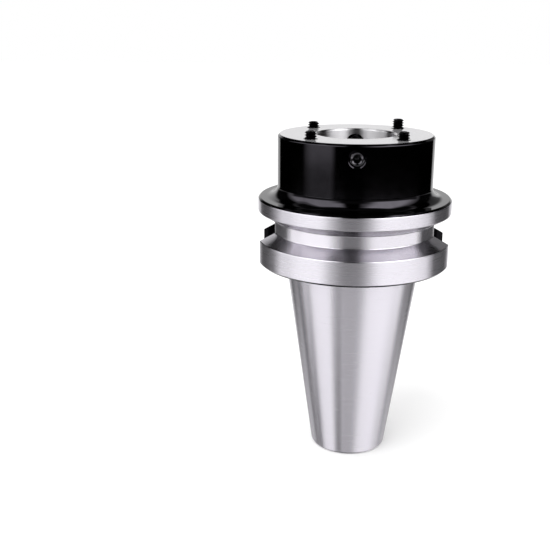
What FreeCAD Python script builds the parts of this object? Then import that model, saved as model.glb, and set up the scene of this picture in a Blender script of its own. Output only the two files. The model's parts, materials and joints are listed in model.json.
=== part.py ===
import FreeCAD, Part
import math
import os
import Sketcher

# A modular flange adapter for a milling spindle: a steep 7/24 taper shank with a gripper flange,
# and a nose that takes a flanged tool head. Four radial screws centre the head in the nose bore,
# and four screws that stand out of the ground face set it square.
# The origin is the centre of the small end, +Z runs up the axis to the nose, and the drive
# keyways lie at +X and -X.

SIZES = [
    ("gauge_diameter", 69.85, "taper diameter at the gauge plane"),
    ("gauge_height", 101.8, "small end to the gauge plane"),
    ("taper_across", 7, "change of diameter of the taper, per taper_along"),
    ("taper_along", 24, "length for that change of diameter"),
    ("end_chamfer", 1, "chamfer round the small end"),
    ("pilot_diameter", 25, "pilot bore for the retention knob"),
    ("pilot_depth", 11.5, "depth of the pilot bore"),
    ("pilot_chamfer", 0.6, "mouth chamfer of the pilot bore"),
    ("knob_thread_diameter", 20.75, "wall diameter of the retention thread"),
    ("knob_thread_end", 45, "small end to the end of the retention thread"),
    ("drill_angle", 118, "point angle of the tap drill, in degrees"),
    ("coolant_diameter", 10, "coolant bore along the axis"),
    ("neck_length", 3, "gauge plane to the rear face of the flange"),
    ("neck_relief", 0.6, "depth of the turned relief below the gauge diameter"),
    ("flange_diameter", 100, "outer diameter of both rims"),
    ("flange_width", 35, "rear face to front face of the flange"),
    ("flange_rear_chamfer", 0.5, "edge of the rear face"),
    ("flange_front_chamfer", 1, "edge of the front face"),
    ("groove_centre", 23.2, "gauge plane to the middle of the gripper groove"),
    ("groove_floor_width", 6.34, "width of the flat floor of the gripper groove"),
    ("groove_depth", 7.5, "rims to the floor of the gripper groove"),
    ("groove_flank_angle", 30, "slope of each groove flank from square, in degrees"),
    ("groove_corner", 0.8, "radius where the groove floor meets its flanks"),
    ("groove_edge", 0.4, "broken edge where the groove meets the rims"),
    ("nose_diameter", 80, "outer diameter of the nose"),
    ("nose_length", 32, "front face of the flange to the face of the nose"),
    ("nose_root_radius", 6, "blend from the flange up to the nose"),
    ("nose_chamfer", 0.5, "outer edge of the nose face"),
    ("bore_diameter", 40, "ground bore that locates the tool head"),
    ("bore_depth", 30, "depth of that bore from the nose face"),
    ("bore_chamfer", 0.8, "mouth of the ground bore"),
    ("bore_relief_depth", 0.5, "grinding relief at the bottom of the bore, radial"),
    ("bore_relief_width", 3, "width of the grinding relief"),
    ("key_width", 25.7, "width of each drive keyway"),
    ("key_floor", 35.4, "axis to the floor of each drive keyway"),
    ("key_length", 24.2, "rear face of the flange to the end of the keyway"),
    ("key_corner", 2, "radius in the end corners of the keyway"),
    ("radial_screw_diameter", 8, "radial centring screw"),
    ("radial_screw_length", 16, "length of the radial screw"),
    ("radial_screw_chamfer", 0.9, "chamfer at both ends of the radial screw"),
    ("radial_screw_drop", 7, "nose face down to the radial screw holes"),
    ("radial_screw_recess", 0.9, "radial screw behind the outside of the nose"),
    ("radial_socket_flats", 4, "hexagon socket of the radial screw, across flats"),
    ("radial_socket_depth", 4.5, "depth of that socket"),
    ("radial_socket_mouth", 6, "diameter of the socket's conical mouth"),
    ("radial_mouth", 0.5, "mouth chamfer of the radial holes"),
    ("radial_clearance", 0.05, "running clearance of the radial screws, radial"),
    ("face_screw_diameter", 6, "face screw"),
    ("face_screw_length", 20, "length of the face screw"),
    ("face_screw_chamfer", 0.7, "chamfer at both ends of the face screw"),
    ("face_screw_circle", 63.5, "pitch circle diameter of the face screws"),
    ("face_socket_flats", 3, "hexagon socket of the face screw, across flats"),
    ("face_socket_depth", 3.5, "depth of that socket"),
    ("face_socket_mouth", 4, "diameter of the socket's conical mouth"),
    ("face_hole_depth", 22, "depth of the face screw holes"),
    ("face_mouth", 0.5, "mouth chamfer of the face screw holes"),
    ("face_clearance", 0.05, "running clearance of the face screws, radial"),
    ("front_left_stand", 3.9, "front left face screw above the nose face"),
    ("front_right_stand", 4, "front right face screw above the nose face"),
    ("back_left_stand", 3.2, "back left face screw above the nose face"),
    ("back_right_stand", 5, "back right face screw above the nose face"),
]

doc = FreeCAD.newDocument("FlangeAdapter")
sheet = doc.addObject("Spreadsheet::Sheet", "Sizes")
for row, (alias, value, note) in enumerate(SIZES, start=1):
    sheet.set(f"A{row}", alias)
    sheet.set(f"B{row}", str(value))
    sheet.setAlias(f"B{row}", alias)
    sheet.set(f"C{row}", note)
doc.recompute()


def size(alias):
    """The expression that reads one cell of the sheet."""
    return f"Sizes.{alias}"


def half(alias):
    return f"Sizes.{alias} / 2"


# Heights along the axis and radii that several features share
REAR_FACE = f"({size('gauge_height')} + {size('neck_length')})"
FRONT_FACE = f"({REAR_FACE} + {size('flange_width')})"
NOSE_FACE = f"({FRONT_FACE} + {size('nose_length')})"
BORE_FLOOR = f"({NOSE_FACE} - {size('bore_depth')})"
RIM_RADIUS = f"({half('flange_diameter')})"
NOSE_RADIUS = f"({half('nose_diameter')})"
GROOVE_RADIUS = f"({RIM_RADIUS} - {size('groove_depth')})"
GROOVE_MIDDLE = f"({size('gauge_height')} + {size('groove_centre')})"
GROOVE_LOW = f"({GROOVE_MIDDLE} - {half('groove_floor_width')})"
GROOVE_HIGH = f"({GROOVE_MIDDLE} + {half('groove_floor_width')})"
FLANK_RISE = f"({size('groove_depth')} * tan({size('groove_flank_angle')}))"
TAPER_SLOPE = f"({size('taper_across')} / {size('taper_along')} / 2)"
GAUGE_RADIUS = f"({half('gauge_diameter')})"
SMALL_END_RADIUS = f"({GAUGE_RADIUS} - {size('gauge_height')} * {TAPER_SLOPE})"
SCREW_LEVEL = f"({NOSE_FACE} - {size('radial_screw_drop')})"


def number(expression):
    """What an expression is worth, for the first place of a sketch point. A spare cell works it out."""
    sheet.set("E1", f"={expression}")
    sheet.recompute()
    value = float(sheet.get("E1"))
    sheet.clear("E1")
    return value


def new_body(label):
    body = doc.addObject("PartDesign::Body", label.title().replace("_", ""))
    body.Label = label
    return body


def origin_item(body, role):
    """One of the body's own origin planes or axes."""
    return next(item for item in body.Origin.OriginFeatures if item.Role == role)


def new_sketch(body, name, plane, offsets=None):
    """A sketch on one of the body's origin planes, moved by expressions in the plane's own axes."""
    sketch = body.newObject("Sketcher::SketchObject", name)
    sketch.AttachmentSupport = [(origin_item(body, plane), "")]
    sketch.MapMode = "FlatFace"
    for axis, expression in (offsets or {}).items():
        sketch.setExpression(f"AttachmentOffset.Base.{axis}", expression)
    doc.recompute()
    return sketch


def place_point(sketch, line, end, across, up):
    """Ties one end of a sketch line to a pair of expressions, measured from the sketch's origin."""
    for kind, axis, expression in (("DistanceX", -2, across), ("DistanceY", -1, up)):
        if expression == "0":
            sketch.addConstraint(Sketcher.Constraint("PointOnObject", line, end, axis))
            continue
        value = number(expression)
        index = sketch.addConstraint(Sketcher.Constraint(kind, -1, 1, line, end, value))
        sketch.setExpression(f"Constraints[{index}]", expression)


def arc_between(start, end, radius):
    """A counterclockwise arc of less than half a turn from start to end."""
    chord = end - start
    inward = FreeCAD.Vector(-chord.y, chord.x, 0).normalize()
    sag = radius - math.sqrt(radius**2 - (chord.Length / 2) ** 2)
    return Part.Arc(start, (start + end) / 2 - inward * sag, end)


def draw_outline(sketch, points, rounds=None):
    """A closed outline through the given points, each a pair of expressions. rounds gives the
    radius of each side that is an arc, by the number of the point that it starts from."""
    rounds = rounds or {}
    places = [FreeCAD.Vector(number(across), number(up), 0) for across, up in points]
    count = len(points)
    for index in range(count):
        start = places[index]
        end = places[(index + 1) % count]
        if index in rounds:
            sketch.addGeometry(arc_between(start, end, number(rounds[index])), False)
        else:
            sketch.addGeometry(Part.LineSegment(start, end), False)
    for index in range(count):
        following = (index + 1) % count
        sketch.addConstraint(Sketcher.Constraint("Coincident", index, 2, following, 1))
    for index, (across, up) in enumerate(points):
        place_point(sketch, index, 1, across, up)
    for index, radius in rounds.items():
        bend = sketch.addConstraint(Sketcher.Constraint("Radius", index, number(radius)))
        sketch.setExpression(f"Constraints[{bend}]", radius)


def revolve(body, kind, name, sketch):
    """A full turn of a sketch about its own vertical axis, added or cut away."""
    feature = body.newObject(kind, name)
    feature.Profile = sketch
    feature.ReferenceAxis = (sketch, ["V_Axis"])
    feature.Angle = 360
    sketch.Visibility = False
    doc.recompute()
    return feature


def repeat(body, feature, name, axis, count):
    """Copies of a feature, evenly round an axis of the body."""
    pattern = body.newObject("PartDesign::PolarPattern", name)
    pattern.Originals = [feature]
    pattern.Axis = (origin_item(body, axis), [""])
    pattern.Angle = 360
    pattern.Occurrences = count
    body.Tip = pattern
    doc.recompute()
    return pattern


def edges_at(shape, kind, test):
    """Names of the edges of one curve type whose points all pass a test."""
    names = []
    for index, edge in enumerate(shape.Edges, start=1):
        points = [vertex.Point for vertex in edge.Vertexes]
        if edge.Curve.TypeId == kind and all(test(point) for point in points):
            names.append(f"Edge{index}")
    return names


def expect_cut(feature, before):
    """Stops the macro if a cut removed nothing."""
    if feature.Shape.Volume > before - 1:
        raise RuntimeError(f"{feature.Label} cuts nothing")


def turn_holder():
    """The turned form of the holder, with its bores and the gripper groove."""
    body = new_body("holder_body")
    sketch = new_sketch(body, "TurnedProfile", "XZ_Plane")
    neck_radius = f"({GAUGE_RADIUS} - {size('neck_relief')})"
    relief_step = size("neck_relief")
    chamfer = size("end_chamfer")
    edge = size("groove_edge")
    edge_rise = f"({edge} * tan({size('groove_flank_angle')}))"
    bore_radius = f"({half('bore_diameter')})"
    thread_radius = f"({half('knob_thread_diameter')})"
    coolant_radius = f"({half('coolant_diameter')})"
    point_depth = f"(({thread_radius} - {coolant_radius}) / tan({half('drill_angle')}))"
    relief_radius = f"({bore_radius} + {size('bore_relief_depth')})"
    relief_top = f"({BORE_FLOOR} + {size('bore_relief_width')})"
    relief_slope_top = f"({relief_top} + {size('bore_relief_depth')})"
    points = [
        # small end and taper
        (f"{half('pilot_diameter')} + {size('pilot_chamfer')}", "0"),
        (f"{SMALL_END_RADIUS} - {chamfer} + {chamfer} * {TAPER_SLOPE}", "0"),
        (f"{SMALL_END_RADIUS} + {chamfer} * {TAPER_SLOPE}", chamfer),
        (GAUGE_RADIUS, size("gauge_height")),
        # relief behind the flange
        (neck_radius, f"{size('gauge_height')} + {relief_step}"),
        (neck_radius, REAR_FACE),
        # lower rim
        (f"{RIM_RADIUS} - {size('flange_rear_chamfer')}", REAR_FACE),
        (RIM_RADIUS, f"{REAR_FACE} + {size('flange_rear_chamfer')}"),
        (RIM_RADIUS, f"{GROOVE_LOW} - {FLANK_RISE} - {edge}"),
        (f"{RIM_RADIUS} - {edge}", f"{GROOVE_LOW} - {FLANK_RISE} + {edge_rise}"),
        # gripper groove
        (GROOVE_RADIUS, GROOVE_LOW),
        (GROOVE_RADIUS, GROOVE_HIGH),
        (f"{RIM_RADIUS} - {edge}", f"{GROOVE_HIGH} + {FLANK_RISE} - {edge_rise}"),
        # upper rim
        (RIM_RADIUS, f"{GROOVE_HIGH} + {FLANK_RISE} + {edge}"),
        (RIM_RADIUS, f"{FRONT_FACE} - {size('flange_front_chamfer')}"),
        (f"{RIM_RADIUS} - {size('flange_front_chamfer')}", FRONT_FACE),
        # nose
        (NOSE_RADIUS, FRONT_FACE),
        (NOSE_RADIUS, f"{NOSE_FACE} - {size('nose_chamfer')}"),
        (f"{NOSE_RADIUS} - {size('nose_chamfer')}", NOSE_FACE),
        # ground bore and its relief
        (f"{bore_radius} + {size('bore_chamfer')}", NOSE_FACE),
        (bore_radius, f"{NOSE_FACE} - {size('bore_chamfer')}"),
        (bore_radius, relief_slope_top),
        (relief_radius, relief_top),
        (relief_radius, BORE_FLOOR),
        # coolant bore down to the retention thread
        (coolant_radius, BORE_FLOOR),
        (coolant_radius, f"{size('knob_thread_end')} + {point_depth}"),
        (thread_radius, size("knob_thread_end")),
        (thread_radius, size("pilot_depth")),
        (half("pilot_diameter"), size("pilot_depth")),
        (half("pilot_diameter"), size("pilot_chamfer")),
    ]
    draw_outline(sketch, points)
    revolve(body, "PartDesign::Revolution", "TurnedForm", sketch)
    return body


def round_circles(body, name, radius, circles):
    """Fillets on the edges that lie on the given circles, each a radius and a height."""
    rings = [(number(reach), number(level)) for reach, level in circles]

    def on_ring(point):
        reach = math.hypot(point.x, point.y)
        return any(abs(reach - r) < 0.01 and abs(point.z - z) < 0.01 for r, z in rings)

    base = body.Tip
    blend = body.newObject("PartDesign::Fillet", name)
    blend.Base = (base, edges_at(base.Shape, "Part::GeomCircle", on_ring))
    blend.setExpression("Radius", radius)
    body.Tip = blend
    doc.recompute()


def cut_keyways(body):
    """The two drive keyways, open at the rear face and running into the gripper groove."""
    before = body.Shape.Volume
    sketch = new_sketch(body, "KeywayOutline", "YZ_Plane", {"z": size("key_floor")})
    side = f"({half('key_width')})"
    below = f"({REAR_FACE} - {size('neck_length')} / 2)"
    end = f"({REAR_FACE} + {size('key_length')})"
    corner = size("key_corner")
    points = [
        (f"-{side}", below),
        (side, below),
        (side, f"{end} - {corner}"),
        (f"{side} - {corner}", end),
        (f"-{side} + {corner}", end),
        (f"-{side}", f"{end} - {corner}"),
    ]
    draw_outline(sketch, points, {2: corner, 4: corner})
    keyway = body.newObject("PartDesign::Pocket", "Keyway")
    keyway.Profile = sketch
    keyway.Type = 1
    keyway.Reversed = True
    sketch.Visibility = False
    doc.recompute()
    expect_cut(keyway, before)
    repeat(body, keyway, "BothKeyways", "Z_Axis", 2)


def drill_radial_holes(body):
    """Four holes through the nose wall for the radial screws, with chamfered mouths."""
    before = body.Shape.Volume
    sketch = new_sketch(body, "RadialHoleProfile", "XY_Plane", {"z": SCREW_LEVEL})
    hole_radius = f"({half('radial_screw_diameter')} + {size('radial_clearance')})"
    mouth = size("radial_mouth")
    spill = f"({mouth} + {size('radial_screw_diameter')} / 8)"
    points = [
        ("0", f"-{half('bore_diameter')} + {hole_radius} / 2"),
        (hole_radius, f"-{half('bore_diameter')} + {hole_radius} / 2"),
        (hole_radius, f"-{NOSE_RADIUS} + {mouth}"),
        (f"{hole_radius} + {spill}", f"-{NOSE_RADIUS} + {mouth} - {spill}"),
        ("0", f"-{NOSE_RADIUS} + {mouth} - {spill}"),
    ]
    draw_outline(sketch, points)
    hole = revolve(body, "PartDesign::Groove", "RadialHole", sketch)
    expect_cut(hole, before)
    repeat(body, hole, "RadialHoles", "Z_Axis", 4)


def drill_face_holes(body):
    """Four blind holes in the nose face for the face screws, drilled and chamfered."""
    before = body.Shape.Volume
    offsets = {
        "x": f"{half('face_screw_circle')} * cos(45)",
        "y": NOSE_FACE,
        "z": f"{half('face_screw_circle')} * sin(45)",
    }
    sketch = new_sketch(body, "FaceHoleProfile", "XZ_Plane", offsets)
    hole_radius = f"({half('face_screw_diameter')} + {size('face_clearance')})"
    depth = size("face_hole_depth")
    mouth = size("face_mouth")
    spill = f"({hole_radius} / 4)"
    points = [
        ("0", f"-{depth} - {hole_radius} / tan({half('drill_angle')})"),
        (hole_radius, f"-{depth}"),
        (hole_radius, f"-{mouth}"),
        (f"{hole_radius} + {mouth} + {spill}", spill),
        ("0", spill),
    ]
    draw_outline(sketch, points)
    hole = revolve(body, "PartDesign::Groove", "FaceHole", sketch)
    expect_cut(hole, before)
    repeat(body, hole, "FaceHoles", "Z_Axis", 4)


def make_screw(label, family):
    """A socket set screw along its own Z axis, its socket end at the origin and its tip below."""
    body = new_body(label)
    radius = f"({half(family + '_screw_diameter')})"
    length = size(family + "_screw_length")
    chamfer = size(family + "_screw_chamfer")
    mouth = f"({half(family + '_socket_mouth')})"
    across_flats = size(family + "_socket_flats")
    profile = new_sketch(body, "ScrewProfile", "XZ_Plane")
    points = [
        ("0", f"-{length}"),
        (f"{radius} - {chamfer}", f"-{length}"),
        (radius, f"-{length} + {chamfer}"),
        (radius, f"-{chamfer}"),
        (f"{radius} - {chamfer}", "0"),
        (mouth, "0"),
        (f"{across_flats} / 2", f"{across_flats} / 2 - {mouth}"),
        ("0", f"{across_flats} / 2 - {mouth}"),
    ]
    draw_outline(profile, points)
    shank = revolve(body, "PartDesign::Revolution", "Shank", profile)
    before = shank.Shape.Volume
    outline = new_sketch(body, "SocketOutline", "XY_Plane")
    reach = f"{across_flats} / sqrt(3)"
    corners = []
    for step in range(6):
        angle = 30 + 60 * step
        across = "0" if step in (1, 4) else f"{reach} * cos({angle})"
        corners.append((across, f"{reach} * sin({angle})"))
    draw_outline(outline, corners)
    socket = body.newObject("PartDesign::Pocket", "Socket")
    socket.Profile = outline
    socket.setExpression("Length", size(family + "_socket_depth"))
    outline.Visibility = False
    body.Tip = socket
    doc.recompute()
    expect_cut(socket, before)
    return body


def place_radial_screw(label, azimuth):
    """A radial screw with its socket outwards, at an azimuth counted from +X towards +Y."""
    body = make_screw(label, "radial")
    reach = f"({NOSE_RADIUS} - {size('radial_screw_recess')})"
    body.setExpression("Placement.Base.x", f"{reach} * cos({azimuth})")
    body.setExpression("Placement.Base.y", f"{reach} * sin({azimuth})")
    body.setExpression("Placement.Base.z", SCREW_LEVEL)
    tilt = FreeCAD.Rotation(FreeCAD.Vector(0, 1, 0), 90)
    turn = FreeCAD.Rotation(FreeCAD.Vector(0, 0, 1), azimuth)
    body.Placement.Rotation = turn.multiply(tilt)
    return body


def place_face_screw(label, azimuth, stand):
    """A face screw with its socket up, standing out of the nose face by its own height."""
    body = make_screw(label, "face")
    reach = f"{half('face_screw_circle')}"
    body.setExpression("Placement.Base.x", f"{reach} * cos({azimuth})")
    body.setExpression("Placement.Base.y", f"{reach} * sin({azimuth})")
    body.setExpression("Placement.Base.z", f"{NOSE_FACE} + {size(stand)}")
    return body


holder = turn_holder()
# The blend keeps to the flat ring that the flange leaves round the nose
flat_ring = f"({RIM_RADIUS} - {size('flange_front_chamfer')} - {NOSE_RADIUS})"
root_radius = f"min({size('nose_root_radius')}; 0.9 * {flat_ring})"
round_circles(holder, "NoseRoot", root_radius, [(NOSE_RADIUS, FRONT_FACE)])
groove_circles = [(GROOVE_RADIUS, GROOVE_LOW), (GROOVE_RADIUS, GROOVE_HIGH)]
round_circles(holder, "GrooveCorners", size("groove_corner"), groove_circles)
cut_keyways(holder)
drill_radial_holes(holder)
drill_face_holes(holder)

pieces = [
    holder,
    place_radial_screw("radial_screw_right", 0),
    place_radial_screw("radial_screw_back", 90),
    place_radial_screw("radial_screw_left", 180),
    place_radial_screw("radial_screw_front", 270),
    place_face_screw("face_screw_back_right", 45, "back_right_stand"),
    place_face_screw("face_screw_back_left", 135, "back_left_stand"),
    place_face_screw("face_screw_front_left", 225, "front_left_stand"),
    place_face_screw("face_screw_front_right", 315, "front_right_stand"),
]
doc.recompute()

for item in doc.Objects:
    if "Invalid" in item.State or "Error" in item.State:
        raise RuntimeError(f"{item.Label} failed: {item.State}")

os.makedirs("parts", exist_ok=True)
for piece in pieces:
    if piece.Shape.isNull() or not piece.Shape.isValid():
        raise RuntimeError(f"{piece.Label} has no valid shape")
    print(f"{piece.Label}: {len(piece.Shape.Solids)} solid, {piece.Shape.Volume:.1f} mm3")
    piece.Shape.exportStep(os.path.join("parts", f"{piece.Label}.step"))
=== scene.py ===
# Modular flange adapter: steep-taper shank, gripper flange, round nose and its eight screws.
# Sizes are in millimetres; a mesh is scaled to metres as its last step.
import bmesh
import bpy
import json
import math
from mathutils import Matrix, Vector


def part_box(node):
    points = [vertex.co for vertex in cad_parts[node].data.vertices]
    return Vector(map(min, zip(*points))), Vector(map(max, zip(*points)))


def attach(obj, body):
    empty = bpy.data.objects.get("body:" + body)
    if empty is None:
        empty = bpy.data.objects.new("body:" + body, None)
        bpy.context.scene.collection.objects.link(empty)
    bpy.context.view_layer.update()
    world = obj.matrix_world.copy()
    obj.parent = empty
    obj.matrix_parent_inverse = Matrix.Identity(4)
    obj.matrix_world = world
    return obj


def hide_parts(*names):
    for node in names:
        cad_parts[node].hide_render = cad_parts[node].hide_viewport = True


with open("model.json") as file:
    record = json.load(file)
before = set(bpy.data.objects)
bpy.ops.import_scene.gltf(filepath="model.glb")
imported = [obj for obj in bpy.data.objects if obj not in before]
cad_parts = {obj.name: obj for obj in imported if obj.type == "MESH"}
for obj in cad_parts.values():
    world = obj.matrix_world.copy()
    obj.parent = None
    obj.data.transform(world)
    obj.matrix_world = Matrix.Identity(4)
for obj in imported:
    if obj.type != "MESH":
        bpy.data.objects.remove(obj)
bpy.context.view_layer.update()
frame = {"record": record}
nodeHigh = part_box("holder_body")[1]
mounts = {mount["name"]: mount for mount in frame["record"]["mounts"]}


# Mesh helpers, with tolerances in millimetres
meshing = {
    "weldDistance": 0.0005, "threadWeld": 0.001, "cutDistance": 0.0001, "levelTolerance": 0.002,
    "wideRounding": 2, "wideSegments": 12, "smallSegments": 4, "flatWeight": 100,
    "sharpAngle": 30, "threadSharpAngle": 35,
}


def spinOutline(outline, steps):
    # turns a closed outline of (radius, height, rounding) about Z; each corner is rounded first
    bm = bmesh.new()
    corners = [bm.verts.new((radius, 0, height)) for radius, height, rounding in outline]
    for start, end in zip(corners, corners[1:] + corners[:1]):
        if start.co.x > 0 or end.co.x > 0:
            bm.edges.new((start, end))
    for corner, (radius, height, rounding) in zip(corners, outline):
        if rounding:
            size = "wideSegments" if rounding > meshing["wideRounding"] else "smallSegments"
            bmesh.ops.bevel(
                bm, geom=[corner], offset=rounding, offset_type="OFFSET", segments=meshing[size],
                profile=0.5, affect="VERTICES", material=-1, clamp_overlap=False,
            )
    bmesh.ops.spin(
        bm, geom=bm.verts[:] + bm.edges[:], cent=(0, 0, 0), axis=(0, 0, 1), angle=math.tau, steps=steps,
        use_merge=True, use_duplicate=False,
    )
    bmesh.ops.remove_doubles(bm, verts=bm.verts, dist=meshing["weldDistance"])
    bmesh.ops.recalc_face_normals(bm, faces=bm.faces)
    return bm


def finishMesh(bm, name, materials, sharpAngle=meshing["sharpAngle"]):
    bmesh.ops.scale(bm, vec=(0.001, 0.001, 0.001), verts=bm.verts)
    mesh = bpy.data.meshes.new(name)
    bm.to_mesh(mesh)
    bm.free()
    piece = bpy.data.objects.new(name, mesh)
    bpy.context.scene.collection.objects.link(piece)
    for material in materials:
        mesh.materials.append(material)
    mesh.shade_smooth()
    mesh.set_sharp_from_angle(angle=math.radians(sharpAngle))
    return piece


def keepFlatsFlat(piece):
    # large faces decide the normals, so that only the rounded edges look round
    weighted = piece.modifiers.new("Weighted normals", "WEIGHTED_NORMAL")
    weighted.mode = "FACE_AREA"
    weighted.weight = meshing["flatWeight"]
    weighted.keep_sharp = True


# Node helpers
def addNode(tree, kind, inputs=None, **settings):
    node = tree.nodes.new("ShaderNode" + kind)
    for name, value in settings.items():
        setattr(node, name, value)
    for key, value in (inputs or {}).items():
        if isinstance(value, bpy.types.NodeSocket):
            tree.links.new(value, node.inputs[key])
        else:
            node.inputs[key].default_value = value
    return node


def calc(tree, operation, *values):
    return addNode(tree, "Math", dict(enumerate(values)), operation=operation).outputs[0]


def newGroup(name, inputs, outputs):
    group = bpy.data.node_groups.new(name, "ShaderNodeTree")
    for label, value in inputs.items():
        kind = "NodeSocketVector" if value is None else "NodeSocketFloat"
        socket = group.interface.new_socket(name=label, in_out="INPUT", socket_type=kind)
        if value is not None:
            socket.default_value = value
    for label, kind in outputs.items():
        group.interface.new_socket(name=label, in_out="OUTPUT", socket_type=kind)
    return group, group.nodes.new("NodeGroupInput"), group.nodes.new("NodeGroupOutput")


def useGroup(tree, group, inputs):
    node = tree.nodes.new("ShaderNodeGroup")
    node.node_tree = group
    for key, value in inputs.items():
        if isinstance(value, bpy.types.NodeSocket):
            tree.links.new(value, node.inputs[key])
        else:
            node.inputs[key].default_value = value
    return node


# Grinding lines run round the axis: fine along it, long around it, on walls and faces alike
grain = {
    "axisReach": 0.0005,    # metres; keeps the axis itself from a division by zero
    "noiseLow": 0.25, "noiseHigh": 0.75,    # nearly all values of a noise lie between these
    "fineShare": 0.6, "lineShare": 0.5,
    "lineDetail": 2.0, "mottleDetail": 3.0, "bumpDistance": 0.00002,
}


def buildGrindLines():
    group, source, result = newGroup(
        "grindLines",
        {"Position": None, "Fine": 5200.0, "Coarse": 1100.0, "Around": 1.6},
        {"Fine Lines": "NodeSocketFloat", "Coarse Lines": "NodeSocketFloat"},
    )
    split = addNode(group, "SeparateXYZ", {0: source.outputs["Position"]})
    across, along, up = split.outputs
    reach = calc(group, "SQRT", calc(group, "ADD", calc(group, "MULTIPLY", across, across),
                                     calc(group, "MULTIPLY", along, along)))
    safeReach = calc(group, "MAXIMUM", reach, grain["axisReach"])
    level = calc(group, "ADD", reach, up)
    for label in ("Fine", "Coarse"):
        place = addNode(group, "CombineXYZ", {
            0: calc(group, "MULTIPLY", calc(group, "DIVIDE", across, safeReach), source.outputs["Around"]),
            1: calc(group, "MULTIPLY", calc(group, "DIVIDE", along, safeReach), source.outputs["Around"]),
            2: calc(group, "MULTIPLY", level, source.outputs[label]),
        })
        noise = addNode(group, "TexNoise", {
            "Vector": place.outputs[0], "Scale": 1.0, "Detail": grain["lineDetail"],
        })
        group.links.new(noise.outputs["Fac"], result.inputs[label + " Lines"])
    return group


grindLines = buildGrindLines()


def newMaterial(name):
    material = bpy.data.materials.new(name)
    material.use_nodes = True
    tree = material.node_tree
    tree.nodes.clear()
    shader = addNode(tree, "BsdfPrincipled")
    addNode(tree, "OutputMaterial", {"Surface": shader.outputs[0]})
    position = addNode(tree, "TexCoord").outputs["Object"]
    return material, tree, shader, position


def remap(tree, value, low, high):
    span = {0: value, 1: grain["noiseLow"], 2: grain["noiseHigh"], 3: low, 4: high}
    return addNode(tree, "MapRange", span).outputs[0]


def blendOf(tree, first, second, share):
    # share is the first value's part
    return calc(tree, "ADD", calc(tree, "MULTIPLY", first, share), calc(tree, "MULTIPLY", second, 1 - share))


def addGrain(tree, shader, height, look):
    tree.links.new(remap(tree, height, *look["roughness"]), shader.inputs["Roughness"])
    bump = addNode(tree, "Bump", {
        "Strength": look["bump"], "Distance": grain["bumpDistance"], "Height": height,
    })
    tree.links.new(bump.outputs[0], shader.inputs["Normal"])


def shadeOf(tree, factor, dark, light):
    mix = addNode(tree, "Mix", {0: factor, 6: (*dark, 1), 7: (*light, 1)}, data_type="RGBA")
    return mix.outputs[2]


def groundSteel(name, look):
    material, tree, shader, position = newMaterial(name)
    lines = useGroup(tree, grindLines, {
        "Position": position, "Fine": look["fine"], "Coarse": look["coarse"], "Around": look["around"],
    })
    both = blendOf(tree, lines.outputs["Fine Lines"], lines.outputs["Coarse Lines"], grain["fineShare"])
    shader.inputs["Metallic"].default_value = look["metallic"]
    shader.inputs["Anisotropic"].default_value = look["anisotropy"]
    shader.inputs["Anisotropic Rotation"].default_value = look["turn"]
    tree.links.new(shadeOf(tree, both, look["dark"], look["light"]), shader.inputs["Base Color"])
    addGrain(tree, shader, both, look)
    if look["anisotropy"]:
        tangent = addNode(tree, "Tangent", direction_type="RADIAL", axis="Z")
        tree.links.new(tangent.outputs[0], shader.inputs["Tangent"])
    return material


turnedSteel = groundSteel("turnedSteel", {
    "dark": (0.7, 0.675, 0.73), "light": (0.75, 0.725, 0.785), "roughness": (0.26, 0.3), "metallic": 1.0,
    "anisotropy": 0.95, "turn": 0.25, "fine": 5200.0, "coarse": 1100.0, "around": 1.6, "bump": 0.008,
})
taperSteel = groundSteel("taperSteel", {
    "dark": (0.715, 0.69, 0.75), "light": (0.745, 0.72, 0.78), "roughness": (0.25, 0.28), "metallic": 1.0,
    "anisotropy": 0.95, "turn": 0.25, "fine": 6400.0, "coarse": 2600.0, "around": 1.3, "bump": 0.003,
})
grooveSteel = groundSteel("grooveSteel", {
    "dark": (0.71, 0.685, 0.74), "light": (0.76, 0.735, 0.79), "roughness": (0.19, 0.23), "metallic": 1.0,
    "anisotropy": 0.9, "turn": 0.25, "fine": 5600.0, "coarse": 1500.0, "around": 1.5, "bump": 0.006,
})
faceSteel = groundSteel("faceSteel", {
    "dark": (0.68, 0.67, 0.69), "light": (0.78, 0.77, 0.79), "roughness": (0.1, 0.17), "metallic": 0.7,
    "anisotropy": 0.0, "turn": 0.0, "fine": 4200.0, "coarse": 900.0, "around": 1.2, "bump": 0.02,
})
boreSteel = groundSteel("boreSteel", {
    "dark": (0.7, 0.69, 0.71), "light": (0.8, 0.79, 0.81), "roughness": (0.3, 0.34), "metallic": 1.0,
    "anisotropy": 1.0, "turn": 0.25, "fine": 5200.0, "coarse": 1300.0, "around": 1.6, "bump": 0.015,
})


def blackenedSteel(name, look):
    material, tree, shader, position = newMaterial(name)
    lines = useGroup(tree, grindLines, {
        "Position": position, "Fine": look["fine"], "Coarse": look["coarse"], "Around": look["around"],
    })
    mottle = addNode(tree, "TexNoise", {
        "Vector": position, "Scale": look["mottle"], "Detail": grain["mottleDetail"],
    }).outputs["Fac"]
    both = blendOf(tree, lines.outputs["Fine Lines"], mottle, grain["lineShare"])
    shader.inputs["Metallic"].default_value = 1.0
    tree.links.new(shadeOf(tree, mottle, look["dark"], look["light"]), shader.inputs["Base Color"])
    addGrain(tree, shader, both, look)
    return material


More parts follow.
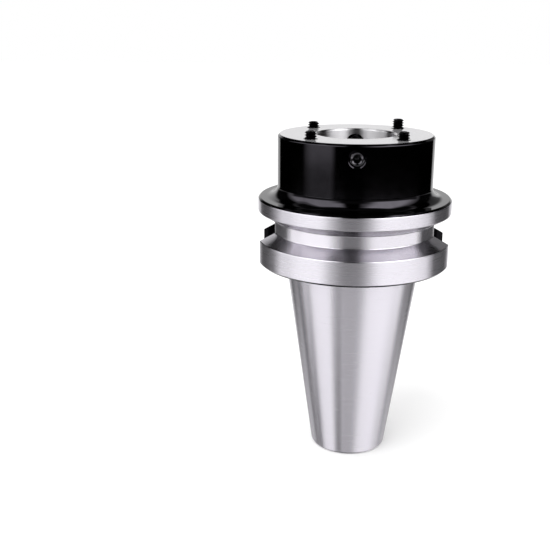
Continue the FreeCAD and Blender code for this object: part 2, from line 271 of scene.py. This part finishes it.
blackOxide = blackenedSteel("blackOxide", {
    "dark": (0.033, 0.031, 0.036), "light": (0.047, 0.044, 0.051), "roughness": (0.06, 0.09),
    "mottle": 260.0, "fine": 3000.0, "coarse": 600.0, "around": 2.5, "bump": 0.03,
})
# face screws' black oxide, darker than the body's: painted shade that keeps them near black
shadedThreadBlack = blackenedSteel("shadedThreadBlack", {
    "dark": (0.008, 0.0078, 0.009), "light": (0.016, 0.0155, 0.0175), "roughness": (0.12, 0.2),
    "mottle": 900.0, "fine": 6000.0, "coarse": 2000.0, "around": 3.0, "bump": 0.05,
})
# radial screws' black oxide, lighter than the body's: a painted highlight that brightens the rings at their
# socket ends
highlightRadialBlack = blackenedSteel("highlightRadialBlack", {
    "dark": (0.06, 0.058, 0.064), "light": (0.085, 0.082, 0.09), "roughness": (0.09, 0.15),
    "mottle": 900.0, "fine": 6000.0, "coarse": 2000.0, "around": 3.0, "bump": 0.05,
})
print("materials ready")

# Holder: one turned form with keyways and holes cut into it; angles are in degrees
holder = {
    "noseFace": nodeHigh.z * 1000,
    "rimRadius": nodeHigh.y * 1000,
    "boreRadius": mounts["nose_bore"]["dims"]["r_mm"],
    "pilotRadius": mounts["retention_pilot"]["dims"]["r_mm"],
    "threadMinor": mounts["retention_thread"]["dims"]["r_mm"],
    "steps": 288,
    "gaugeRadius": 34.925, "gaugeHeight": 101.8, "taperSlope": 3.5 / 24,
    "endChamfer": 1.0, "endEdge": 0.3, "pilotDepth": 11.5, "pilotChamfer": 0.6, "pilotCorner": 0.2,
    "threadMajor": 12.0, "threadPitch": 3.0, "threadEnd": 45.0, "threadMargin": 1.0,
    "threadTop": 1.4, "crestDrops": (0.95, 1.35), "turnDrop": 2.3, "threadLead": 0.6,
    "coolantRadius": 5.0, "drillPoint": 59.0,
    "neckLength": 3.0, "neckRelief": 0.6, "neckEdge": 0.2, "neckCorner": 0.4,
    "rearChamfer": 1.1, "frontChamfer": 1.0, "frontEdge": 0.25,
    "grooveCentre": 23.2, "grooveFloorHalf": 3.17, "grooveDepth": 7.5, "flankAngle": 30.0,
    "grooveCorner": 0.25, "grooveEdge": 0.2,
    "noseRadius": 40.0, "noseLength": 32.0, "noseRoot": 6.0, "noseChamfer": 1.05, "noseEdge": 0.22,
    "faceEdge": 0.06, "boreEdge": 0.08, "boreDepth": 30.0, "boreChamfer": 0.8, "boreCorner": 0.3,
    "reliefDepth": 0.5, "reliefWidth": 3.0, "reliefEdge": 0.1,
    "brokenEdge": 0.12,
    "border": 0.1, "faceBorder": 0.03, "boreBorder": 0.01, "flatSlope": 0.8,    # where the finishes meet
    "keyHalfWidth": 12.85, "keyFloor": 35.4, "keyLength": 24.2, "keyCorner": 2.0, "keyReach": 25.0,
    "radialHole": 4.05, "radialDrop": 7.0, "radialMouth": 0.5, "radialReach": 2.0,
    "boreMouth": 0.15, "boreReach": 3.0, "radialSteps": 48,
    "faceHole": 3.05, "faceHoleDepth": 22.0, "faceMouth": 0.5, "faceReach": 1.5, "faceCircle": 31.75,
    "faceSteps": 40,
}


def holderOutline(h):
    edge = h["brokenEdge"]
    smallEnd = h["gaugeRadius"] - h["gaugeHeight"] * h["taperSlope"]
    rear = h["gaugeHeight"] + h["neckLength"]
    front = h["noseFace"] - h["noseLength"]
    floorLow = h["gaugeHeight"] + h["grooveCentre"] - h["grooveFloorHalf"]
    floorHigh = floorLow + 2 * h["grooveFloorHalf"]
    slope = math.tan(math.radians(h["flankAngle"]))
    rise = h["grooveDepth"] * slope
    floor = h["rimRadius"] - h["grooveDepth"]
    neck = h["gaugeRadius"] - h["neckRelief"]
    bevel = h["grooveEdge"]
    outline = [
        (h["pilotRadius"] + h["pilotChamfer"], 0, edge),
        (smallEnd - h["endChamfer"], 0, h["endEdge"]),
        (smallEnd + h["endChamfer"] * h["taperSlope"], h["endChamfer"], h["endEdge"]),
        (h["gaugeRadius"], h["gaugeHeight"], edge),
        (neck, h["gaugeHeight"] + h["neckRelief"], h["neckEdge"]),
        (neck, rear, h["neckCorner"]),
        (h["rimRadius"] - h["rearChamfer"], rear, edge),
        (h["rimRadius"], rear + h["rearChamfer"], edge),
        (h["rimRadius"], floorLow - rise - bevel, edge),
        (h["rimRadius"] - bevel, floorLow - rise + bevel * slope, edge),
        (floor, floorLow, h["grooveCorner"]),
        (floor, floorHigh, h["grooveCorner"]),
        (h["rimRadius"] - bevel, floorHigh + rise - bevel * slope, edge),
        (h["rimRadius"], floorHigh + rise + bevel, edge),
        (h["rimRadius"], front - h["frontChamfer"], h["frontEdge"]),
        (h["rimRadius"] - h["frontChamfer"], front, edge),
        (h["noseRadius"], front, h["noseRoot"]),
        (h["noseRadius"], h["noseFace"] - h["noseChamfer"], h["noseEdge"]),
        (h["noseRadius"] - h["noseChamfer"], h["noseFace"], h["faceEdge"]),
        (h["boreRadius"] + h["boreChamfer"], h["noseFace"], h["boreEdge"]),
        (h["boreRadius"], h["noseFace"] - h["boreChamfer"], edge),
    ]
    boreFloor = h["noseFace"] - h["boreDepth"]
    relief = h["boreRadius"] + h["reliefDepth"]
    point = (h["threadMinor"] - h["coolantRadius"]) / math.tan(math.radians(h["drillPoint"]))
    outline += [
        (h["boreRadius"], boreFloor + h["reliefWidth"] + h["reliefDepth"], h["reliefEdge"]),
        (relief, boreFloor + h["reliefWidth"], h["reliefEdge"]),
        (relief, boreFloor, h["boreCorner"]),
        (h["coolantRadius"], boreFloor, h["boreCorner"]),
        (h["coolantRadius"], h["threadEnd"] + point, 0),
        (h["threadMinor"], h["threadEnd"], 0),
    ]
    # rings of the retention thread, from its end down to the pilot bore
    turns = int((h["threadEnd"] - h["pilotDepth"] - h["threadMargin"]) / h["threadPitch"])
    for turn in range(turns):
        top = h["threadEnd"] - h["threadTop"] - turn * h["threadPitch"]
        outline.append((h["threadMinor"], top, 0))
        outline += [(h["threadMajor"], top - drop, 0) for drop in h["crestDrops"]]
        outline.append((h["threadMinor"], top - h["turnDrop"], 0))
    outline += [
        (h["threadMinor"], h["pilotDepth"] + h["threadLead"], 0),
        (h["threadMajor"], h["pilotDepth"], 0),
        (h["pilotRadius"], h["pilotDepth"], h["pilotCorner"]),
        (h["pilotRadius"], h["pilotChamfer"], edge),
    ]
    return outline


steelFinish, faceFinish, boreFinish, blackFinish, taperFinish, grooveFinish = range(6)
holderMaterials = [turnedSteel, faceSteel, boreSteel, blackOxide, taperSteel, grooveSteel]


def holderFinish(h, radius, height, slope):
    # slope is the upward part of the face's normal
    front = h["noseFace"] - h["noseLength"]
    rear = h["gaugeHeight"] + h["neckLength"]
    border = h["border"]
    if radius < h["boreRadius"] + h["boreChamfer"] and height < h["noseFace"] - h["boreBorder"]:
        return boreFinish if height > h["noseFace"] - h["boreDepth"] - border else steelFinish
    if height > h["noseFace"] - h["faceBorder"] and slope > h["flatSlope"]:
        return faceFinish
    if height > front - h["frontChamfer"] + border:
        return blackFinish
    if h["gaugeHeight"] + border < height < rear + h["rearChamfer"] - border:
        return blackFinish
    if height < h["gaugeHeight"] + border:
        return taperFinish
    # what lies inside the rims, above the rear chamfer, is the groove
    inside = radius < h["rimRadius"] - h["grooveEdge"] and height > rear + 2 * h["rearChamfer"]
    return grooveFinish if inside else steelFinish


def keywayCutter(h, side):
    bm = bmesh.new()
    rear = h["gaugeHeight"] + h["neckLength"]
    end = rear + h["keyLength"]
    half = h["keyHalfWidth"]
    start = rear - h["neckLength"] / 2
    corners = [bm.verts.new((side * h["keyFloor"], across, height)) for across, height in
               ((-half, start), (half, start), (half, end), (-half, end))]
    bm.faces.new(corners)
    bmesh.ops.bevel(
        bm, geom=corners[2:], offset=h["keyCorner"], offset_type="OFFSET", segments=8, profile=0.5,
        affect="VERTICES", material=-1, clamp_overlap=False,
    )
    grown = bmesh.ops.extrude_face_region(bm, geom=bm.faces[:])["geom"]
    moved = [item for item in grown if isinstance(item, bmesh.types.BMVert)]
    bmesh.ops.translate(bm, vec=(side * h["keyReach"], 0, 0), verts=moved)
    bmesh.ops.recalc_face_normals(bm, faces=bm.faces)
    return bm


def drillCutter(outline, steps, place):
    bm = spinOutline(outline, steps)
    bmesh.ops.transform(bm, matrix=place, verts=bm.verts)
    return bm


def addTo(target, bm):
    # one mesh gathers every cutter; each keeps to its own place
    spare = bpy.data.meshes.new("spare")
    bm.to_mesh(spare)
    bm.free()
    target.from_mesh(spare)
    bpy.data.meshes.remove(spare)


def cutHolder(h, solid):
    cutters = bmesh.new()
    for side in (1, -1):
        addTo(cutters, keywayCutter(h, side))
    # each cutter flares by 45 degrees at its mouths and ends well outside the wall
    hole = h["radialHole"]
    wall = h["noseRadius"] - h["boreRadius"]
    inner = h["boreReach"]
    outer = h["radialReach"]
    radialOutline = [
        (0, -wall - inner, 0), (hole + inner + h["boreMouth"], -wall - inner, 0),
        (hole, -wall + h["boreMouth"], 0), (hole, -h["radialMouth"], 0),
        (hole + outer, outer - h["radialMouth"], 0), (0, outer - h["radialMouth"], 0),
    ]
    outward = Matrix.Rotation(math.radians(90), 4, "Y")
    for quarter in range(4):
        turn = Matrix.Rotation(math.radians(90 * quarter), 4, "Z")
        lift = Matrix.Translation((h["noseRadius"], 0, h["noseFace"] - h["radialDrop"]))
        addTo(cutters, drillCutter(radialOutline, h["radialSteps"], turn @ lift @ outward))
    hole = h["faceHole"]
    outer = h["faceReach"]
    point = hole / math.tan(math.radians(h["drillPoint"]))
    faceOutline = [
        (0, -h["faceHoleDepth"] - point, 0), (hole, -h["faceHoleDepth"], 0), (hole, -h["faceMouth"], 0),
        (hole + outer, outer - h["faceMouth"], 0), (0, outer - h["faceMouth"], 0),
    ]
    for quarter in range(4):
        turn = Matrix.Rotation(math.radians(45 + 90 * quarter), 4, "Z")
        lift = Matrix.Translation((h["faceCircle"], 0, h["noseFace"]))
        addTo(cutters, drillCutter(faceOutline, h["faceSteps"], turn @ lift))
    for face in cutters.faces:
        face.material_index = blackFinish
    cutter = finishMesh(cutters, "holderCutter", holderMaterials)
    boolean = solid.modifiers.new("Cuts", "BOOLEAN")
    boolean.operation = "DIFFERENCE"
    boolean.solver = "EXACT"
    boolean.object = cutter
    bpy.context.view_layer.update()
    evaluated = solid.evaluated_get(bpy.context.evaluated_depsgraph_get())
    cut = bpy.data.meshes.new_from_object(evaluated)
    solid.modifiers.clear()
    solid.data = cut
    bpy.data.objects.remove(cutter)


def buildHolder(h):
    bm = spinOutline(holderOutline(h), h["steps"])
    for face in bm.faces:
        centre = face.calc_center_median()
        face.material_index = holderFinish(h, math.hypot(centre.x, centre.y), centre.z, face.normal.z)
    solid = finishMesh(bm, "holderShape", holderMaterials)
    cutHolder(h, solid)
    solid.data.shade_smooth()
    solid.data.set_sharp_from_angle(angle=math.radians(meshing["sharpAngle"]))
    keepFlatsFlat(solid)
    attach(solid, "holder")
    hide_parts("holder_body")
    print("holder:", len(solid.data.polygons), "faces")


buildHolder(holder)

# Screws: a real thread, a hexagon socket with a conical mouth, and a cupped tip
radialScrew = {
    "radius": 4.0, "pitch": 1.25, "threadDepth": 0.72, "length": 16.0, "chamfer": 0.9,
    "flats": 4.0, "socketDepth": 4.5, "socketMouth": 2.95, "mouthSlope": 0.58, "socketCone": 0.4,
    "tipRim": 0.4, "tipCup": 0.5, "recess": 0.9, "steps": 48,
}
faceScrew = {
    "radius": 3.0, "pitch": 1.25, "threadDepth": 0.75, "length": 20.0, "chamfer": 1.0,
    "flats": 3.0, "socketDepth": 3.5, "socketMouth": 1.8, "mouthSlope": 0.58, "socketCone": 0.4,
    "tipRim": 0.4, "tipCup": 0.5, "steps": 48,
}
# one turn of the thread: root or crest, and how far along the pitch
threadTurn = (("root", 0), ("root", 0.08), ("crest", 0.45), ("crest", 0.55), ("root", 0.92), ("root", 1))


def openLoop(bm, height):
    return [edge for edge in bm.edges if edge.is_boundary
            and all(abs(vert.co.z - height) < meshing["levelTolerance"] for vert in edge.verts)]


def threadedScrew(s):
    # the socket end lies at the origin and the tip below it
    bm = bmesh.new()
    pitch = s["pitch"]
    radii = {"root": s["radius"] - s["threadDepth"], "crest": s["radius"]}
    start = -s["length"] - pitch
    corners = [bm.verts.new((radii[place], 0, start + part * pitch)) for place, part in threadTurn]
    for lower, upper in zip(corners, corners[1:]):
        bm.edges.new((lower, upper))
    turns = math.ceil(s["length"] / pitch) + 2
    bmesh.ops.spin(
        bm, geom=bm.verts[:] + bm.edges[:], cent=(0, 0, 0), axis=(0, 0, 1), dvec=(0, 0, pitch / s["steps"]),
        angle=math.tau * turns, steps=s["steps"] * turns, use_merge=False, use_duplicate=False,
    )
    bmesh.ops.remove_doubles(bm, verts=bm.verts, dist=meshing["threadWeld"])
    for height, direction in ((0, 1), (-s["length"], -1)):
        bmesh.ops.bisect_plane(
            bm, geom=bm.verts[:] + bm.edges[:] + bm.faces[:], dist=meshing["cutDistance"],
            plane_co=(0, 0, height), plane_no=(0, 0, direction), clear_outer=True,
        )
    bmesh.ops.remove_doubles(bm, verts=bm.verts, dist=meshing["threadWeld"])
    for vert in bm.verts:
        # both ends are rounded off from the crests inwards
        into = min(s["chamfer"], max(0, -vert.co.z), max(0, vert.co.z + s["length"]))
        limit = s["radius"] - s["chamfer"] + math.sqrt(s["chamfer"] ** 2 - (s["chamfer"] - into) ** 2)
        reach = math.hypot(vert.co.x, vert.co.y)
        if reach > limit:
            vert.co.x *= limit / reach
            vert.co.y *= limit / reach
    closeSocket(bm, s)
    closeTip(bm, s)
    bmesh.ops.recalc_face_normals(bm, faces=bm.faces)
    return bm


def closeSocket(bm, s):
    cap = bmesh.ops.edgeloop_fill(bm, edges=openLoop(bm, 0))["faces"]
    rim = s["radius"] - s["chamfer"]
    side = math.radians(60)    # the bearing that one side of the hexagon spans
    bmesh.ops.inset_individual(bm, faces=cap, thickness=rim - s["socketMouth"], depth=0)
    bmesh.ops.inset_individual(bm, faces=cap, thickness=(s["socketMouth"] - s["flats"] / 2) / 2, depth=0)
    for vert in cap[0].verts:
        # out to the hexagon's side, and down onto the cone of the mouth
        bearing = math.atan2(vert.co.y, vert.co.x)
        reach = s["flats"] / 2 / math.cos((bearing + side / 2) % side - side / 2)
        vert.co = Vector((math.cos(bearing) * reach, math.sin(bearing) * reach,
                          (reach - s["socketMouth"]) * s["mouthSlope"]))
    floor = bmesh.ops.extrude_discrete_faces(bm, faces=cap)["faces"]
    for vert in floor[0].verts:
        vert.co.z = -s["socketDepth"]
    bmesh.ops.poke(bm, faces=floor, offset=-s["socketCone"])


def closeTip(bm, s):
    tip = bmesh.ops.edgeloop_fill(bm, edges=openLoop(bm, -s["length"]))["faces"]
    bmesh.ops.inset_individual(bm, faces=tip, thickness=s["tipRim"], depth=0)
    bmesh.ops.poke(bm, faces=tip, offset=-s["tipCup"])


def placeScrew(node, pattern, place, material):
    bm = pattern.copy()
    bmesh.ops.transform(bm, matrix=place, verts=bm.verts)
    words = node.split("_")
    name = words[0] + "".join(word.title() for word in words[1:])
    screw = finishMesh(bm, name, [material], meshing["threadSharpAngle"])
    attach(screw, node)
    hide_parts(node)


def buildScrews(h):
    level = h["noseFace"] - h["radialDrop"]
    outward = Matrix.Rotation(math.radians(90), 4, "Y")
    pattern = threadedScrew(radialScrew)
    for quarter, side in enumerate(("right", "back", "left", "front")):
        turn = Matrix.Rotation(math.radians(90 * quarter), 4, "Z")
        lift = Matrix.Translation((h["noseRadius"] - radialScrew["recess"], 0, level))
        placeScrew("radial_screw_" + side, pattern, turn @ lift @ outward, highlightRadialBlack)
    pattern.free()
    pattern = threadedScrew(faceScrew)
    for quarter, corner in enumerate(("back_right", "back_left", "front_left", "front_right")):
        node = "face_screw_" + corner
        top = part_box(node)[1].z * 1000    # each stands out by its own height
        turn = Matrix.Rotation(math.radians(45 + 90 * quarter), 4, "Z")
        lift = Matrix.Translation((h["faceCircle"], 0, top))
        placeScrew(node, pattern, turn @ lift, shadedThreadBlack)
    pattern.free()


buildScrews(holder)
print("screws in place")


# Studio: pale floor, one soft lamp, and a tent of light and dark cards that metal mirrors
def buildLightZone():
    # a soft-edged patch of sky, placed by bearing and height in degrees
    group, source, result = newGroup(
        "lightZone",
        {"Bearing": 0.0, "Elevation": 0.0, "Centre": 0.0, "Half Width": 20.0, "Low": -90.0, "High": 90.0,
         "Side Edge": 2.0, "Level Edge": 2.0},
        {"Mask": "NodeSocketFloat"},
    )
    inputs = source.outputs
    offset = calc(group, "WRAP", calc(group, "SUBTRACT", inputs["Bearing"], inputs["Centre"]), 180.0, -180.0)
    inside = calc(group, "SUBTRACT", inputs["Half Width"], calc(group, "ABSOLUTE", offset))
    sides = [
        (inside, inputs["Side Edge"]),
        (calc(group, "SUBTRACT", inputs["Elevation"], inputs["Low"]), inputs["Level Edge"]),
        (calc(group, "SUBTRACT", inputs["High"], inputs["Elevation"]), inputs["Level Edge"]),
    ]
    masks = []
    for distance, softness in sides:
        low = calc(group, "MULTIPLY", softness, -1.0)
        step = addNode(group, "MapRange", {0: distance, 1: low, 2: softness, 3: 0.0, 4: 1.0},
                       interpolation_type="SMOOTHSTEP")
        masks.append(step.outputs[0])
    mask = calc(group, "MULTIPLY", calc(group, "MULTIPLY", masks[0], masks[1]), masks[2])
    group.links.new(mask, result.inputs["Mask"])
    return group


# Bearings run from the front (0) to the right (90); later zones cover earlier ones
tent = {
    "base": 0.85,
    "ambient": 0.95,
    "seenLevel": 1.0,    # what the camera sees past the object
    "fadeStart": 2.0,
    "fadeEnd": 3.0,
    "fadeLevel": 0.04,
    "fading": ("softboxLeft", "softboxRight", "floorFront", "floorCentre", "lowFront"),
    "zones": [
        # name, centre, half width, low, high, side edge, level edge, level
        ("backdrop", 180, 42, -12, 70, 4, 5, 0.8),
        ("floorBase", 0, 190, -90, -25, 1, 3, 0.56),
        ("floorBack", 180, 52, -90, -25, 6, 3, 0.75),
        ("floorFront", -6, 18, -42, -25, 10, 3, 0.98),
        ("floorCentre", 0, 16, -62, -42, 8, 2, 0.56),
        ("floorRight", 56, 34, -90, -25, 22, 3, 1.08),
        ("floorLeft", -66, 29, -90, -25, 8, 3, 1.02),
        ("floorLine", -104, 18, -90, -25, 2, 3, 0.0),
        ("floorRightEdge", 120, 9, -90, -25, 9, 3, 0.6),
        ("floorBand", -33, 11, -90, -35.5, 6, 1.5, 0.05),
        ("under", 0, 190, -90, -60, 1, 3, 0.03),
        ("low", 0, 100, -26, -12.3, 4, 0.4, 1.95),
        ("lowFront", -3, 20, -26, -12.3, 14, 0.4, 0.2),
        ("lowSideRight", 128, 21, -26, -12.3, 2, 0.4, 0.12),
        ("lowSideLeft", -128, 21, -26, -12.3, 2, 0.4, 0.12),
        ("nose", 0, 148, -12.3, -5.5, 3, 0.4, 0.0),
        ("noseLeftLow", -57, 24, -12.1, -9.3, 5, 0.5, 0.34),
        ("noseLeft", -57, 24, -9.3, -6, 5, 0.5, 1.1),
        ("noseLeftFade", -86, 10, -12.1, -6, 12, 0.5, 0.0),
        ("front", 0, 100, -5.5, 12, 3, 0.5, 0.16),
        ("softboxLeft", -45, 36, 10, 62, 6, 4, 2.7),
        ("softboxRight", 57, 31, 10, 64, 12, 4, 3.6),
        ("softboxLeftEnd", -90, 13, 9, 34, 6, 5, 2.4),
        ("top", 0, 190, 64, 90, 1, 3, 0.05),
        ("overhead", 182, 18, 24, 90, 5, 5, 0.0),
        ("sideRight", 124, 21, -5.5, 45, 6, 4, 0.01),
        ("sideLeft", -132, 20, -5.5, 45, 6, 4, 0.01),
        ("flankEndRight", 152, 15, 6, 28, 5, 3, 0.15),
        ("flankRight", 150, 30, 27, 42, 6, 1.5, 0.0),
        ("flankLeft", -150, 30, 27, 42, 6, 1.5, 0.0),
        ("upperSideRight", 129, 30, 45, 80, 8, 4, 0.03),
        ("upperSideLeft", -126, 30, 45, 80, 8, 4, 0.03),
        ("gap", -4, 14, -5.5, 100, 5, 2, 0.0),
        ("gapLow", -4, 25, 2, 28, 13, 10, 0.05),
        ("gapHigh", -4, 16, 44, 100, 12, 10, 0.0),
    ],
}


def mixLevels(tree, factor, first, second):
    return addNode(tree, "Mix", {0: factor, 2: first, 3: second}, data_type="FLOAT").outputs[0]


def buildWorld(t):
    world = bpy.data.worlds.new("studio")
    bpy.context.scene.world = world
    world.use_nodes = True
    tree = world.node_tree
    tree.nodes.clear()
    zone = buildLightZone()
    ray = addNode(tree, "SeparateXYZ", {0: addNode(tree, "TexCoord").outputs["Generated"]})
    away = calc(tree, "MULTIPLY", ray.outputs[1], -1.0)
    bearing = calc(tree, "DEGREES", calc(tree, "ARCTAN2", ray.outputs[0], away))
    elevation = calc(tree, "DEGREES", calc(tree, "ARCSINE", ray.outputs[2]))
    path = addNode(tree, "LightPath")
    late = addNode(tree, "MapRange", {0: path.outputs["Ray Depth"], 1: t["fadeStart"], 2: t["fadeEnd"]})
    light = t["base"]
    for name, centre, halfWidth, low, high, sideEdge, levelEdge, level in t["zones"]:
        mask = useGroup(tree, zone, {
            "Bearing": bearing, "Elevation": elevation, "Centre": centre, "Half Width": halfWidth,
            "Low": low, "High": high, "Side Edge": sideEdge, "Level Edge": levelEdge,
        })
        mask.label = name
        if name in t["fading"]:
            # black steel that mirrors black steel keeps little of a lamp
            level = mixLevels(tree, late.outputs[0], level, t["fadeLevel"])
        light = mixLevels(tree, mask.outputs[0], light, level)
    plain = mixLevels(tree, path.outputs["Is Glossy Ray"], t["ambient"], light)
    seen = calc(tree, "MAXIMUM", path.outputs["Is Camera Ray"], path.outputs["Is Transmission Ray"])
    strength = mixLevels(tree, seen, plain, t["seenLevel"])
    background = addNode(tree, "Background", {"Color": (1, 1, 1, 1), "Strength": strength})
    addNode(tree, "OutputWorld", {"Surface": background.outputs[0]})


# Floor and lamp, in metres
studio = {
    "floorHalf": 4.0, "floorColour": (0.93, 0.93, 0.93), "floorRoughness": 0.9, "floorGlow": 0.15,
    "lampSize": 1.2, "lampPower": 14.0, "lampPlace": (-0.5, -0.7, 1.5),
}


def buildStudio(s):
    bm = bmesh.new()
    bmesh.ops.create_grid(bm, x_segments=1, y_segments=1, size=s["floorHalf"] * 1000)
    floorMaterial, _, shader, _ = newMaterial("floorPaint")
    shader.inputs["Base Color"].default_value = (*s["floorColour"], 1)
    shader.inputs["Roughness"].default_value = s["floorRoughness"]
    shader.inputs["Specular IOR Level"].default_value = 0.0
    shader.inputs["Emission Color"].default_value = (1, 1, 1, 1)
    shader.inputs["Emission Strength"].default_value = s["floorGlow"]
    floor = finishMesh(bm, "floor", [floorMaterial])
    floor.visible_glossy = False    # metal mirrors the tent instead
    lampData = bpy.data.lights.new("softLamp", "AREA")
    lampData.size = s["lampSize"]
    lampData.energy = s["lampPower"]
    lamp = bpy.data.objects.new("softLamp", lampData)
    lamp.location = s["lampPlace"]
    lamp.rotation_euler = (-Vector(s["lampPlace"])).to_track_quat("-Z", "Y").to_euler()
    lamp.visible_glossy = False
    bpy.context.scene.collection.objects.link(lamp)


# Camera: at the photograph's angle, turned a little left of the object's axis
cameraFit = {
    "place": (-0.008779, -0.437311, 0.228656), "turn": 0.07433, "tilt": 0.295262, "roll": 0.002353,
    "focalPixels": 849.478, "framePixels": 550, "sensorWidth": 36, "clipStart": 0.01,
}


def buildCamera(c):
    turn, tilt, roll = c["turn"], c["tilt"], c["roll"]
    forward = Vector((-math.sin(turn) * math.cos(tilt), math.cos(turn) * math.cos(tilt), -math.sin(tilt)))
    level = Vector((math.cos(turn), math.sin(turn), 0))
    upright = level.cross(forward)
    right = math.cos(roll) * level + math.sin(roll) * upright
    up = math.cos(roll) * upright - math.sin(roll) * level
    lens = bpy.data.cameras.new("photoCamera")
    lens.sensor_width = c["sensorWidth"]
    lens.lens = c["focalPixels"] / c["framePixels"] * lens.sensor_width
    lens.clip_start = c["clipStart"]
    camera = bpy.data.objects.new("photoCamera", lens)
    columns = Matrix((right, up, -forward)).transposed()
    camera.matrix_world = Matrix.Translation(c["place"]) @ columns.to_4x4()
    bpy.context.scene.collection.objects.link(camera)
    bpy.context.scene.camera = camera


buildWorld(tent)
buildStudio(studio)
buildCamera(cameraFit)
bpy.context.scene.view_settings.view_transform = "Standard"
print("studio ready")
